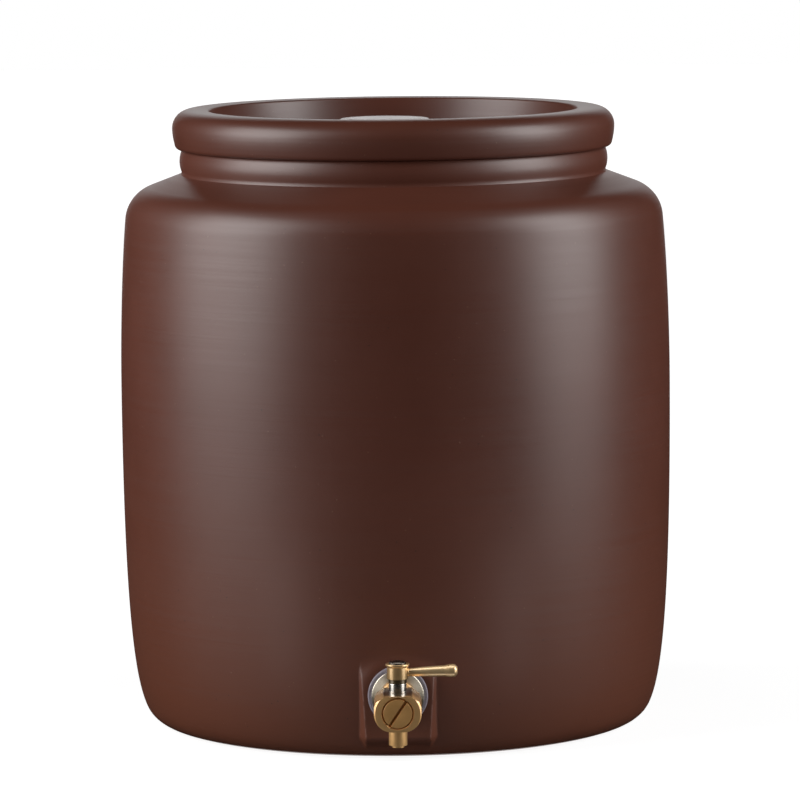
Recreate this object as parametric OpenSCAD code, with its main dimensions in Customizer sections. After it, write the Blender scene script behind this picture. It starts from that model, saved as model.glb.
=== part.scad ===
/* [Pot] */
// Widest diameter of the pot
pot_d = 300; // [290:1:330]
// Height of the pot's widest line
widest_z = 190; // [170:1:210]
// Diameter of the flat foot
foot_d = 251; // [235:1:260]
// Radius of the round between foot and wall
foot_round = 14; // [12:0.5:18]
// Diameter where the shoulder starts to round over
shoulder_d = 292; // [280:1:296]
// Radius of the shoulder's round
shoulder_round = 16.5; // [13:0.5:22]
// Height of the crease where the neck meets the shoulder
neck_z = 300.5; // [290:0.5:305]
// Diameter of that crease
neck_d = 230; // [226:1:236]
// Thickness of the clay wall and floor
wall = 9; // [7:0.5:10.5]

/* [Neck ring] */
// Height of the pot's flat top, above the neck crease
ring_h = 13.5; // [11:0.5:20]
// How far the ring bulges past the crease, on the radius
ring_bulge = 1.6; // [1:0.1:3]
// Diameter of the mouth
mouth_d = 214; // [205:1:216]

/* [Lid] */
// Outer diameter of the rolled rim
lid_d = 240.8; // [238:0.2:246]
// Height of the rolled rim above the pot's top
lid_rim_h = 21.1; // [18:0.1:24]
// Inner diameter of the rim at its top edge
dish_d = 200.6; // [190:0.2:206]
// Depth of the dish below the rim's top
dish_depth = 18; // [15:0.5:20]
// Thickness of the dish's floor
lid_floor = 7; // [5:0.5:9]
// Depth of the locating skirt below the pot's top
skirt_h = 11; // [8:0.5:16]
// Wall of the locating skirt
skirt_wall = 7; // [5:0.5:9]
// Clearance between the skirt and the mouth, on the radius
skirt_gap = 1.2; // [0.6:0.1:2]
// Diameter of the knob's flat top
knob_d = 49.4; // [40:0.2:60]
// Diameter of the knob's stalk
knob_neck_d = 35; // [28:0.5:38]
// How far the knob's top lies below the rim's top
knob_drop = 5.7; // [2:0.1:7]
// Sideways place of the hand-set knob
knob_x = -4.7; // [-8:0.1:8]

/* [Boss for the tap] */
// How far the boss's flat front stands out of the wall at its top
boss_proud = 1.9; // [1.4:0.1:3.5]
// Height of the boss's lower edge
boss_low = 12.5; // [10:0.5:15]
// Height at which the boss starts to run into the wall
boss_top = 50.5; // [50:0.5:58]
// Width of the boss's flat front
boss_w = 33.8; // [33:0.2:40]
// Thickness of the clay between the tap's two seats
boss_wall = 12.6; // [11.6:0.1:13.4]
// Diameter of the hole for the tap
tap_hole_d = 16; // [15:0.1:18]
// Diameter of the flat seat inside
inner_seat_d = 33; // [31:0.5:36]

/* [Tap] */
// Height of the tap's axis
tap_z = 36; // [35:0.5:37]
// Diameter of the threaded tail
tail_d = 14; // [12:0.1:14.4]
// Length of the tail's end past the nut
tail_end = 2.4; // [1:0.1:5]
// Diameter of the water way in the tail
inlet_d = 8; // [6:0.1:9]
// Radial clearance of the rings and nut on the tail
tail_gap = 0.1; // [0.05:0.05:0.2]
// Outer gasket diameter
gasket_d = 31.6; // [28:0.1:33]
// Gasket thickness, outside and inside
gasket_t = 2.5; // [2:0.1:4]
// Inner gasket diameter
inner_gasket_d = 28; // [26:0.1:30]
// Flange washer diameter
flange_d = 27.4; // [22:0.1:28]
// Flange washer thickness
flange_t = 3; // [2.5:0.1:4]
// Inner washer diameter
washer_d = 24; // [20:0.1:26]
// Inner washer thickness
washer_t = 1.5; // [1:0.1:2.5]
// Nut size across its flats
nut_af = 22; // [19:0.5:24]
// Nut thickness
nut_t = 6; // [4:0.5:8]
// Collar of the tap body, diameter
collar_d = 18; // [16:0.5:21]
// Collar of the tap body, length
collar_l = 3.5; // [2:0.5:6]
// Distance from the boss to the block's back
block_back = 27; // [24:0.5:32]
// Length of the block, back to front
block_l = 30; // [29.5:0.5:34]
// Width of the block
block_w = 24.5; // [23:0.1:28]
// Height of the block above the tap's axis
block_up = 8.8; // [8.6:0.1:9.6]
// Height of the block below the tap's axis
block_down = 9.6; // [9:0.1:11]
// Width of the block's flat top
block_flat = 14; // [12:0.1:15]
// Diameter of the spout
spout_d = 9.6; // [8.6:0.1:11]
// Height of the spout's end above the ground
spout_z = 17.2; // [12:0.5:18]
// Diameter of the water way in the spout
outlet_d = 6.4; // [5:0.1:7]

/* [Ball valve] */
// Distance from the block's back to the ball's centre
ball_back = 15; // [14:0.1:16]
// Diameter of the ball
ball_d = 13; // [12.4:0.1:13.2]
// Clearance between the ball and its seats
ball_gap = 0.1; // [0.05:0.05:0.2]
// Diameter of the ball's chamber
chamber_d = 14; // [13.8:0.1:14.2]
// Thickness of each seat ring
seat_t = 3.6; // [3:0.1:4.2]
// Water way through each seat ring
seat_bore = 7.2; // [6.4:0.1:7.6]
// Diameter of the front plug
plug_d = 15.9; // [15.2:0.1:16.4]
// Depth of the plug's thread
plug_t = 6; // [5:0.1:7]
// Radial clearance round the plug
plug_gap = 0.1; // [0.05:0.05:0.2]
// Thickness of the plug's sealing ring
seal_t = 1.24; // [1:0.02:1.4]
// Width and depth of the plug's slot
slot_w = 1.5; // [1:0.1:2]
// Turn of the plug's slot from level
slot_turn = 56; // [0:1:180]

/* [Stem and gland] */
// Diameter of the stem
stem_d = 5; // [4.4:0.1:5.4]
// Running clearance of the stem, on the radius
stem_gap = 0.06; // [0.03:0.01:0.1]
// Diameter of the stem's foot
stem_foot_d = 7.2; // [6.6:0.1:7.6]
// Width of the stem's tang
tang_w = 2.8; // [2:0.1:3.2]
// Depth of the tang in the ball
tang_h = 2.2; // [1.6:0.1:2.6]
// Outer diameter of the gland
gland_d = 9.2; // [8.8:0.1:10.4]
// Height of the gland above the block
gland_h = 4.9; // [4.5:0.1:7]
// Diameter of the gland's thread in the block
gland_thread_d = 8.2; // [8:0.1:8.6]
// Thickness of the thrust washer under the gland
thrust_t = 0.6; // [0.5:0.1:0.8]
// Thickness of each rubber ring round the stem
ring_t = 1.16; // [1:0.02:1.2]
// Diameter of the stop pin
pin_d = 1.3; // [1:0.1:1.4]
// Turn of the stop pin from the closed lever
pin_turn = -51.5; // [-60:0.5:-40]

/* [Lever] */
// Gap between the gland and the hub, where the stop shows
stop_h = 2.1; // [1.8:0.1:3]
// Diameter of the hub
hub_d = 10.8; // [10:0.1:12]
// Diameter of the hub's flared top
hub_top_d = 12.4; // [11.4:0.1:13]
// Height of the hub
hub_h = 8; // [7:0.1:9]
// Width of the stem's square
square_w = 3.6; // [3:0.1:3.7]
// Quarter turn of the lever, closed to open
lever_turn = 90; // [60:1:90]
// Distance from the stem's axis to the lever's tip
lever_reach = 31; // [26:0.2:40]
// Lever diameter at the hub
lever_thin = 4.2; // [3.6:0.1:4.8]
// Lever diameter two thirds of the way along
lever_mid = 5.5; // [4.8:0.1:6.2]
// Lever diameter near its tip
lever_thick = 7; // [5:0.1:8.4]
// Height of the lever's line above the hub's underside
lever_up = 3.2; // [3:0.1:3.8]
// Upward tilt of the lever
lever_tilt = 1.8; // [0:0.1:4]
// Diameter of the screw's head
screw_head_d = 9.2; // [7:0.1:9.6]
// Height of the screw's head
screw_head_h = 1.7; // [1.2:0.1:2.4]
// Diameter of the screw's thread
screw_d = 3; // [2:0.1:3]
// Thickness of the washer under the screw
lock_t = 0.5; // [0.3:0.1:0.8]

/* [Hidden] */

clay = "#5b3428";
silicone = "#d8d2dc";
brass = "#9c8250";
bright_metal = "#b9b2a2";
white_seat = "#efefe9";
dark_steel = "#2c2724";
black_rubber = "#1d1d1d";

bite = 0.5;        // how far a joined shape reaches into its neighbour
over = 1;          // how far a cut runs past what it cuts
hair = 0.05;       // a face gap between pieces that are stacked up
steps = 10;        // straight runs in one curve of an outline
round_fn = 96;
$fn = round_fn;

// Pot
pot_r = pot_d / 2;
foot_r = foot_d / 2;
neck_r = neck_d / 2;
mouth_r = mouth_d / 2;
pot_top = neck_z + ring_h;
foot_rise = 20;        // the foot's round ends at this lean from upright, in degrees
shoulder_fall = 22;    // the shoulder's slope up to the neck, in degrees
wall_pull_low = 14;    // how far the lower wall holds on to the foot's lean
wall_pull_mid = 112;   // how far it stays upright below the widest line
wall_pull_up = 35;     // and above it
wall_pull_top = 30;    // how far the upper wall holds on to the shoulder's lean
shoulder_lean = 5;     // the upper wall's lean where the shoulder starts, in degrees
ring_corner = 1.2;

// Lid
lid_r = lid_d / 2;
lid_top = pot_top + lid_rim_h;
dish_r = dish_d / 2;
dish_floor = lid_top - dish_depth;
skirt_r = mouth_r - skirt_gap;
roll_r = 9.8;          // the rim's upper round
roll_low_r = 2.5;      // the tight round at the rim's lower edge
roll_tuck = 1.3;       // how far the rim's lower edge lies inside its widest line
roll_turn = 14;        // the rim's lean above that edge, in degrees
roll_pull = 3.3;       // how far the rim holds on to that lean
dish_lip = 1.2;
dish_slope = 3;        // how far the dish's wall leans in on its way down
dish_fillet = 5;
knob_r = knob_d / 2;
knob_top = lid_top - knob_drop;
knob_edge = 3.2;       // the round of its edge, as a height
knob_under = 60;       // how far that round runs under, in degrees
knob_foot = 2;         // how far the stalk spreads onto the dish's floor
knob_foot_h = 3;
knob_dish = 0.8;       // depth of the hollow in its top
knob_dish_share = 0.8; // where that hollow starts, as a share of the radius

// Boss and tap, along the tap's own axis from the boss's face outwards
boss_face = wall_r(boss_top) + boss_proud;     // from the pot's axis
boss_flare = 0.5;      // sideways spread of the boss's flanks, for each unit of depth
boss_run_out = 6.5;    // height over which its top slopes into the wall
boss_slope = 3.5;      // depth of that slope
inner_gasket_u = -boss_wall - gasket_t;
inner_washer_u = inner_gasket_u - washer_t;
nut_u = inner_washer_u - nut_t;
tail_u = nut_u - tail_end;
tail_r = tail_d / 2;
ring_bore_r = tail_r + tail_gap;
collar_u = gasket_t + flange_t;
body_neck_d = 15;
block_front = block_back + block_l;
ball_u = block_back + ball_back;
ball_r = ball_d / 2;
seat_r = ball_r + ball_gap;
chamber_r = chamber_d / 2;
rear_seat_u = ball_u - ball_r - 1.1;           // where the rear ring starts
front_seat_u = ball_u + ball_r + 1.1;          // where the front ring ends
plug_u = block_front - plug_t;
plug_r = plug_d / 2;
plug_nose_r = chamber_r - seal_t - 2 * hair;
seal_r = seal_t / 2;
block_turn_r = 9.3;                            // the block's round lower corners
facet_in = 1.15;                               // how far its sides lean in below the facets
spout_root_d = spout_d + 0.8;
spout_root_h = 1.4;
spout_edge = 0.6;

// Heights above the tap's axis
stem_foot_z = ball_r + hair;
stem_foot_h = 0.7;
thrust_z = stem_foot_z + stem_foot_h + hair;
gland_low = thrust_z + thrust_t + hair;
gland_top = block_up + gland_h;
hub_z = gland_top + stop_h;
hub_top = hub_z + hub_h;
hub_recess = 0.9;                              // the screw's recess in the hub's top
hub_seat = hub_top - hub_recess;
hub_flare_h = 2.2;
square_top = hub_seat - 0.7;
square_gap = 0.05;
stem_r = stem_d / 2;
ring_r = ring_t / 2;
seal_line_r = stem_r + hair + ring_r;          // centre line of the rubber rings
seal_groove_r = seal_line_r + ring_r + hair;
seal_groove_z = block_up + 0.8;
seal_groove_h = 2 * ring_t + 3 * hair;
pin_line_r = 3.7;
pin_r = pin_d / 2;
pin_sink = 1.1;
pin_low = gland_top - pin_sink;
pin_top = hub_z - 0.3;
skirt_z = gland_top + 0.25;
stop_in_r = 2.95;
stop_out_r = 4.75;
pin_half = asin(pin_r / pin_line_r) + 1.5;     // half the pin's width as a turn, with room
lever_z = hub_z + lever_up;
lever_seat = hub_d / 2 + 0.4;                  // the flat on the hub that the lever meets
lever_end_r = 2.4;
shank_r = 1.55;
shank_start = square_w / 2 + 0.5;
screw_tip = 6.4;                               // length of the screw's thread
cross_w = 1;
cross_deep = 0.9;

// Points along a cubic curve, moved inwards by inset
function curve(a, b, c, d, inset = 0) = [
    for (i = [0:steps])
        let (t = i / steps, s = 1 - t)
        let (way = s * s * (b - a) + 2 * s * t * (c - b) + t * t * (d - c))
        let (ahead = way / norm(way))
        s * s * s * a + 3 * s * s * t * b + 3 * s * t * t * c + t * t * t * d
            + inset * [-ahead[1], ahead[0]]
];
// Points along an arc
function arc(centre, r, from, to, parts = steps) = [
    for (i = [0:parts])
        let (turn = from + (to - from) * i / parts)
        centre + r * [cos(turn), sin(turn)]
];
function lean(turn) = [-sin(turn), cos(turn)];
function backwards(points) = [for (i = [len(points) - 1:-1:0]) points[i]];

// One line of the pot's wall, from floor to shoulder, at a depth inside the outer face
function wall_line(inset) =
    let (foot = [foot_r, foot_round])
    let (foot_end = foot + foot_round * [cos(foot_rise), -sin(foot_rise)])
    let (widest = [pot_r, widest_z])
    let (round_r = shoulder_d / 2 - shoulder_round)
    let (slope_turn = 90 - shoulder_fall)
    let (slope_run = round_r + shoulder_round * cos(slope_turn) - neck_r)
    let (round_z = neck_z - slope_run * tan(shoulder_fall) - shoulder_round * sin(slope_turn))
    let (round = [round_r, round_z])
    let (wall_end = round + shoulder_round * [cos(shoulder_lean), sin(shoulder_lean)])
    concat(
        arc(foot, foot_round - inset, -90, -foot_rise),
        curve(foot_end, foot_end + wall_pull_low * lean(-foot_rise),
              widest - [0, wall_pull_mid], widest, inset),
        curve(widest, widest + [0, wall_pull_up],
              wall_end - wall_pull_top * lean(shoulder_lean), wall_end, inset),
        arc(round, shoulder_round - inset, shoulder_lean, slope_turn)
    );

// Outer radius of the wall at a height
function wall_r(z) = lookup(z, [for (p = wall_line(0)) [p[1], p[0]]]);

function ring_line() =
    let (half = ring_h / 2)
    let (r = (half * half + ring_bulge * ring_bulge) / (2 * ring_bulge))
    let (centre = [neck_r + ring_bulge - r, neck_z + half])
    let (low = asin(half / r))
    let (high = asin((half - ring_corner) / (r - ring_corner)))
    let (corner = centre + (r - ring_corner) * [cos(high), sin(high)])
    concat(arc(centre, r, -low, high), arc(corner, ring_corner, high, 90, 4));

function pot_outline() =
    let (inside = wall_line(wall))
    let (last = inside[len(inside) - 1])
    let (mouth_low = last[1] + (last[0] - mouth_r) * tan(shoulder_fall))
    concat(
        [[0, 0]],
        wall_line(0),
        ring_line(),
        [[mouth_r, pot_top], [mouth_r, mouth_low]],
        backwards(inside),
        [[0, wall]]
    );

function lid_outline() =
    let (edge = [lid_r - roll_tuck - roll_low_r, pot_top + roll_low_r])
    let (side = edge + roll_low_r * [cos(roll_turn), -sin(roll_turn)])
    let (top = [lid_r - roll_r, lid_top - roll_r])
    let (lip = [dish_r + dish_lip, lid_top - dish_lip - 0.3])
    let (turn = [dish_r - dish_slope - dish_fillet, dish_floor + dish_fillet])
    concat(
        [[0, dish_floor - lid_floor], [skirt_r - skirt_wall, dish_floor - lid_floor]],
        [[skirt_r - skirt_wall, pot_top - skirt_h], [skirt_r, pot_top - skirt_h]],
        [[skirt_r, pot_top]],
        arc(edge, roll_low_r, -90, -roll_turn, 6),
        curve(side, side + roll_pull * lean(-roll_turn), top + [roll_r, -roll_pull], top + [roll_r, 0]),
        arc(top, roll_r, 0, 90),
        arc(lip, dish_lip, 90, 180, 5),
        arc(turn, dish_fillet, 0, -90, 6),
        [[0, dish_floor]]
    );

function knob_outline() =
    let (edge = [knob_r - knob_edge / 2, knob_top - knob_edge / 2])
    let (low = dish_floor - bite)
    let (stalk_r = knob_neck_d / 2)
    concat(
        [[0, low], [stalk_r + knob_foot, low], [stalk_r + knob_foot / 2, dish_floor + knob_foot / 2]],
        [[stalk_r, dish_floor + knob_foot_h]],
        arc(edge, knob_edge / 2, -knob_under, 90),
        [[knob_r * knob_dish_share, knob_top - knob_dish / 2], [0, knob_top - knob_dish]]
    );

// The block's front outline, with its flat top, its facets and its round lower corners
function block_outline() =
    let (half = block_w / 2)
    let (facet = [half - facet_in, block_up - 2.9])
    let (side = [half, block_up - 5.8])
    let (turn = [half - block_turn_r, block_turn_r - block_down])
    let (right = concat(arc(turn, block_turn_r, -90, 0), [side, facet, [block_flat / 2, block_up]]))
    concat(right, [for (i = [len(right) - 1:-1:0]) [-right[i][0], right[i][1]]]);

// Along the tap's axis: +Z of its own frame runs outwards and +Y runs up
module along_tap() {
    translate([0, -boss_face, tap_z]) rotate([90, 0, 0]) children();
}
// At the ball's centre, upright
module at_ball() {
    translate([0, -boss_face - ball_u, tap_z]) children();
}
// Along the lever's line, from the stem's axis outwards
module along_lever() {
    at_ball() translate([0, 0, lever_z]) rotate([0, 90 - lever_tilt, 0]) children();
}
module tube(outer_r, inner_r, low, high) {
    difference() {
        translate([0, 0, low]) cylinder(r = outer_r, h = high - low);
        translate([0, 0, low - over]) cylinder(r = inner_r, h = high - low + 2 * over);
    }
}
module ring(line_r, thick_r, at) {
    translate([0, 0, at]) rotate_extrude() translate([line_r, 0]) circle(r = thick_r, $fn = 32);
}

module boss() {
    front = boss_w / 2;
    back = front + boss_flare * boss_wall;
    inner_face = boss_face - boss_wall;
    high = boss_top + boss_run_out;
    intersection() {
        linear_extrude(high)
            polygon([[-front, -boss_face], [front, -boss_face], [back, -inner_face], [-back, -inner_face]]);
        rotate([90, 0, 90]) linear_extrude(2 * back, center = true)
            polygon([[-boss_face, boss_low], [-inner_face, boss_low], [-inner_face, high],
                     [-boss_face + boss_slope, high], [-boss_face, boss_top]]);
    }
}

module pot_body() {
    color(clay) difference() {
        union() {
            rotate_extrude($fn = 180) polygon(pot_outline());
            boss();
        }
        along_tap() translate([0, 0, -boss_wall - over])
            cylinder(d = tap_hole_d, h = boss_wall + 2 * over);
        along_tap() translate([0, 0, -boss_wall - 2 * wall])
            cylinder(d = inner_seat_d, h = 2 * wall);
    }
}

module lid() {
    color(clay) union() {
        rotate_extrude($fn = 180) polygon(lid_outline());
        translate([knob_x, 0, 0]) rotate_extrude($fn = 120) polygon(knob_outline());
    }
}

module outer_gasket() {
    color(silicone) along_tap() tube(gasket_d / 2, ring_bore_r, 0, gasket_t);
}

module flange_washer() {
    rim = flange_d / 2;
    color(bright_metal) along_tap() translate([0, 0, gasket_t]) rotate_extrude()
        polygon([[ring_bore_r, 0], [rim, 0], [rim, flange_t / 2], [rim - 0.8, flange_t * 0.8],
                 [collar_d / 2 + 0.6, flange_t], [ring_bore_r, flange_t]]);
}

module spout() {
    root_r = spout_root_d / 2;
    r = spout_d / 2;
    end = tap_z - spout_z;
    rotate([180, 0, 0]) rotate_extrude()
        polygon([[0, chamber_r], [root_r, chamber_r], [root_r, block_down], [r, block_down + spout_root_h],
                 [r, end - spout_edge], [r - spout_edge, end], [0, end]]);
}

module tap_body() {
    color(brass) difference() {
        union() {
            along_tap() {
                translate([0, 0, tail_u]) cylinder(r = tail_r, h = collar_u + bite - tail_u);
                translate([0, 0, collar_u]) cylinder(d = collar_d, h = collar_l);
                translate([0, 0, collar_u]) cylinder(d = body_neck_d, h = block_back + bite - collar_u);
                translate([0, 0, block_back]) linear_extrude(block_l) polygon(block_outline());
            }
            at_ball() spout();
        }
        along_tap() {
            translate([0, 0, tail_u - over]) cylinder(d = inlet_d, h = rear_seat_u - tail_u + 2 * over);
            translate([0, 0, rear_seat_u]) cylinder(r = chamber_r, h = block_front - rear_seat_u);
            translate([0, 0, plug_u]) cylinder(r = plug_r, h = plug_t + over);
        }
        at_ball() {
            translate([0, 0, spout_z - tap_z - over]) cylinder(d = outlet_d, h = tap_z - spout_z);
            cylinder(d = gland_thread_d, h = block_up + over);
        }
    }
}

module inner_gasket() {
    color(silicone) along_tap() tube(inner_gasket_d / 2, ring_bore_r, inner_gasket_u, -boss_wall);
}

module inner_washer() {
    color(bright_metal) along_tap() tube(washer_d / 2, ring_bore_r, inner_washer_u, inner_gasket_u);
}

module back_nut() {
    color(brass) along_tap() difference() {
        translate([0, 0, nut_u]) rotate(30) cylinder(d = nut_af / cos(30), h = nut_t, $fn = 6);
        translate([0, 0, nut_u - over]) cylinder(r = tail_r + hair, h = nut_t + 2 * over);
    }
}

// Closed, the ball's side opening looks away from the lever
module valve_ball() {
    color(bright_metal) at_ball() difference() {
        sphere(r = ball_r);
        translate([0, 0, -ball_r - over]) cylinder(d = outlet_d, h = ball_r + over);
        rotate([0, -90, 0]) cylinder(d = outlet_d, h = ball_r + over);
        translate([-ball_r - over, -tang_w / 2 - hair, ball_r - tang_h - hair])
            cube([2 * (ball_r + over), tang_w + 2 * hair, tang_h + over]);
    }
}

module seat_ring(low, high) {
    color(white_seat) along_tap() difference() {
        tube(chamber_r - hair, seat_bore / 2, low, high);
        translate([0, 0, ball_u]) sphere(r = seat_r);
    }
}
module rear_seat() {
    seat_ring(rear_seat_u, rear_seat_u + seat_t);
}
module front_seat() {
    seat_ring(front_seat_u - seat_t, front_seat_u);
}

module front_plug() {
    color(brass) along_tap() difference() {
        union() {
            translate([0, 0, plug_u + hair]) cylinder(r = plug_r - plug_gap, h = plug_t - hair);
            translate([0, 0, front_seat_u + hair])
                cylinder(r = plug_nose_r, h = plug_u - front_seat_u + bite);
        }
        translate([0, 0, block_front]) rotate(slot_turn)
            cube([plug_d - slot_w, slot_w, 2 * slot_w], center = true);
    }
}

module plug_seal() {
    color(black_rubber) along_tap()
        ring(chamber_r - hair - seal_r, seal_r, plug_u - seal_r);
}

module stem() {
    color(bright_metal) at_ball() difference() {
        union() {
            translate([-stem_foot_d / 2 + hair, -tang_w / 2, ball_r - tang_h])
                cube([stem_foot_d - 2 * hair, tang_w, tang_h + stem_foot_h / 2]);
            translate([0, 0, stem_foot_z]) cylinder(d = stem_foot_d, h = stem_foot_h);
            translate([0, 0, stem_foot_z]) cylinder(r = stem_r, h = hub_z - stem_foot_z - hair);
            translate([-square_w / 2, -square_w / 2, hub_z - bite])
                cube([square_w, square_w, square_top - hub_z + bite]);
        }
        translate([0, 0, hub_seat - screw_tip - bite]) cylinder(d = screw_d + hair, h = screw_tip + over);
    }
}

module stem_washer() {
    color(white_seat) at_ball()
        tube(gland_thread_d / 2 - hair, stem_r + stem_gap, thrust_z, thrust_z + thrust_t);
}

module stem_seals() {
    color(black_rubber) at_ball() for (i = [0, 1])
        ring(seal_line_r, ring_r, seal_groove_z + hair + ring_r + i * (ring_t + hair));
}

module gland() {
    color(bright_metal) at_ball() difference() {
        union() {
            translate([0, 0, gland_low]) cylinder(d = gland_thread_d - 2 * hair, h = gland_top - gland_low);
            translate([0, 0, block_up]) cylinder(d = gland_d, h = gland_h);
        }
        translate([0, 0, gland_low - over])
            cylinder(r = stem_r + stem_gap, h = gland_top - gland_low + 2 * over);
        translate([0, 0, seal_groove_z]) cylinder(r = seal_groove_r, h = seal_groove_h);
        rotate(pin_turn) translate([pin_line_r, 0, pin_low]) cylinder(r = pin_r, h = pin_sink + over);
    }
}

module stop_pin() {
    color(bright_metal) at_ball() rotate(pin_turn) translate([pin_line_r, 0, pin_low])
        cylinder(r = pin_r, h = pin_top - pin_low);
}

// The part of the stop rim that is cut away, so that the pin can pass
module stop_gap() {
    from = pin_turn - pin_half;
    to = pin_turn + lever_turn + pin_half;
    translate([0, 0, skirt_z - over]) linear_extrude(hub_z - skirt_z + over)
        polygon(concat([[0, 0]], arc([0, 0], 2 * stop_out_r, from, to)));
}

module lever_hub() {
    hub_r = hub_d / 2;
    color(brass) difference() {
        union() {
            at_ball() rotate_extrude()
                polygon([[0, hub_z], [hub_r, hub_z], [hub_r, hub_top - hub_flare_h],
                         [hub_top_d / 2, hub_top - hub_recess], [hub_top_d / 2, hub_top - 0.3],
                         [hub_top_d / 2 - 0.3, hub_top], [0, hub_top]]);
            at_ball() difference() {
                tube(stop_out_r, stop_in_r, skirt_z, hub_z + hair);
                stop_gap();
            }
            along_lever() cylinder(d = lever_thin + 0.4, h = lever_seat);
        }
        at_ball() {
            translate([-square_w / 2 - square_gap, -square_w / 2 - square_gap, hub_z - over])
                cube([square_w + 2 * square_gap, square_w + 2 * square_gap, hub_h + over]);
            translate([0, 0, hub_seat]) cylinder(d = screw_head_d + 0.6, h = hub_recess + over);
        }
        along_lever() cylinder(r = shank_r + hair, h = lever_seat + over);
    }
}

module lever_rod() {
    tip_r = lever_thick / 2;
    color(brass) along_lever() rotate_extrude()
        polygon(concat(
            [[0, shank_start], [shank_r, shank_start], [shank_r, lever_seat],
             [lever_thin / 2, lever_seat], [lever_mid / 2, lever_reach * 2 / 3],
             [tip_r, lever_reach - lever_end_r]],
            arc([tip_r - lever_end_r, lever_reach - lever_end_r], lever_end_r, 0, 90, 6),
            [[0, lever_reach]]));
}

module lever_screw() {
    head_r = screw_head_d / 2;
    head_z = hub_seat + lock_t;
    color(dark_steel) at_ball() difference() {
        rotate_extrude()
            polygon([[0, hub_seat - screw_tip], [screw_d / 2, hub_seat - screw_tip], [screw_d / 2, head_z],
                     [head_r, head_z], [head_r, head_z + screw_head_h / 2],
                     [head_r * 0.85, head_z + screw_head_h * 0.9], [head_r * 0.5, head_z + screw_head_h],
                     [0, head_z + screw_head_h]]);
        for (turn = [20, 110])
            translate([0, 0, head_z + screw_head_h]) rotate(turn)
                cube([head_r * 1.2, cross_w, 2 * cross_deep], center = true);
    }
}

module lock_washer() {
    color(dark_steel) at_ball()
        tube(screw_d / 2 + 2.1, screw_d / 2 + 0.2, hub_seat, hub_seat + lock_t);
}

pot_body();
lid();
outer_gasket();
flange_washer();
tap_body();
inner_gasket();
inner_washer();
back_nut();
valve_ball();
rear_seat();
front_seat();
front_plug();
plug_seal();
stem();
stem_washer();
stem_seals();
gland();
stop_pin();
lever_hub();
lever_rod();
lever_screw();
lock_washer();
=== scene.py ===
"""Clay water pot with a lift-off dished lid and a brass ball tap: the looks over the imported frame."""
import math

import bpy
from mathutils import Matrix, Vector


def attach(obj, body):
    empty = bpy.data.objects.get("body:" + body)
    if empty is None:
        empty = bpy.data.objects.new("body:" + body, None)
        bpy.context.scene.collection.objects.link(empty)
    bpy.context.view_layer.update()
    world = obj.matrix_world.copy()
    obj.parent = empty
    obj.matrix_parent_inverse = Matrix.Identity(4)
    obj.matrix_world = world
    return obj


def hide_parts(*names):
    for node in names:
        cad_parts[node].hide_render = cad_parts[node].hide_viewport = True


MM = 0.001
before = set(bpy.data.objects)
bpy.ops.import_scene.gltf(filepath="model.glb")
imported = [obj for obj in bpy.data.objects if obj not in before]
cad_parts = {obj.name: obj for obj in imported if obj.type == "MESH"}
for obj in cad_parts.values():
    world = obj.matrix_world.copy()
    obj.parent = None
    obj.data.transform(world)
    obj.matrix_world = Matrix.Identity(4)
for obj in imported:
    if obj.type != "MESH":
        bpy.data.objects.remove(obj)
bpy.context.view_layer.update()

# Sizes of the real pot, in millimetres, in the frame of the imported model
POT_R = 150.0
WIDEST_Z = 186.0
FOOT_R = 124.7
FOOT_ROUND = 15.0
FOOT_RISE = 26.0
SHOULDER_R = 146.6
SHOULDER_ROUND = 20.0
SHOULDER_FALL = 21.0
SHOULDER_LEAN = 5.0
NECK_Z = 300.5
NECK_R = 115.0
WALL = 9.0
RING_H = 13.5
RING_BULGE = 1.6
POT_TOP = NECK_Z + RING_H
MOUTH_R = 107.0
LID_R = 120.4
LID_TOP = 335.1
DISH_R = 100.3
DISH_FLOOR = 317.1
LID_FLOOR = 7.0
SKIRT_H = 11.0
SKIRT_WALL = 7.0
SKIRT_R = MOUTH_R - 1.2
ROLL_R = 9.8
KNOB_R = 24.7
KNOB_STALK_R = 17.5
KNOB_TOP = 329.4
KNOB_X = -4.7
BOSS_FACE = 146.983
BOSS_WALL = 12.6
BOSS_LOW = 12.0
BOSS_TOP = 50.5
TAP_Z = 36.0
BALL_Y = -(BOSS_FACE + 42.0)
HUB_Z = 15.8
HUB_TOP = 23.8


# ---------------------------------------------------------------- outlines

def arc(centre, radius, start, end, parts):
    """Points along an arc, in degrees."""
    turns = [math.radians(start + (end - start) * i / parts) for i in range(parts + 1)]
    return [(centre[0] + radius * math.cos(t), centre[1] + radius * math.sin(t)) for t in turns]


def curve(a, b, c, d, parts):
    """Points along a cubic curve."""
    found = []
    for i in range(parts + 1):
        t = i / parts
        s = 1 - t
        weights = (s ** 3, 3 * s * s * t, 3 * s * t * t, t ** 3)
        found.append(tuple(sum(w * p[k] for w, p in zip(weights, (a, b, c, d))) for k in (0, 1)))
    return found


def eased(corners, parts=5):
    """An outline whose corners (across, up, radius) are rounded."""
    found = []
    for i, corner in enumerate(corners):
        here = Vector(corner[:2])
        radius = corner[2] if len(corner) > 2 else 0
        if radius == 0 or i in (0, len(corners) - 1):
            found.append(tuple(here))
            continue
        back = Vector(corners[i - 1][:2]) - here
        ahead = Vector(corners[i + 1][:2]) - here
        reach = 0.48 * min(back.length, ahead.length)
        back.normalize()
        ahead.normalize()
        half = back.angle(ahead) / 2
        radius = min(radius, reach * math.tan(half))
        middle = here + (back + ahead).normalized() * radius / math.sin(half)
        start = here + back * radius / math.tan(half) - middle
        end = here + ahead * radius / math.tan(half) - middle
        sweep = start.angle_signed(end)
        for k in range(parts + 1):
            turn = -sweep * k / parts
            found.append((middle.x + start.x * math.cos(turn) - start.y * math.sin(turn),
                          middle.y + start.x * math.sin(turn) + start.y * math.cos(turn)))
    return found


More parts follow.
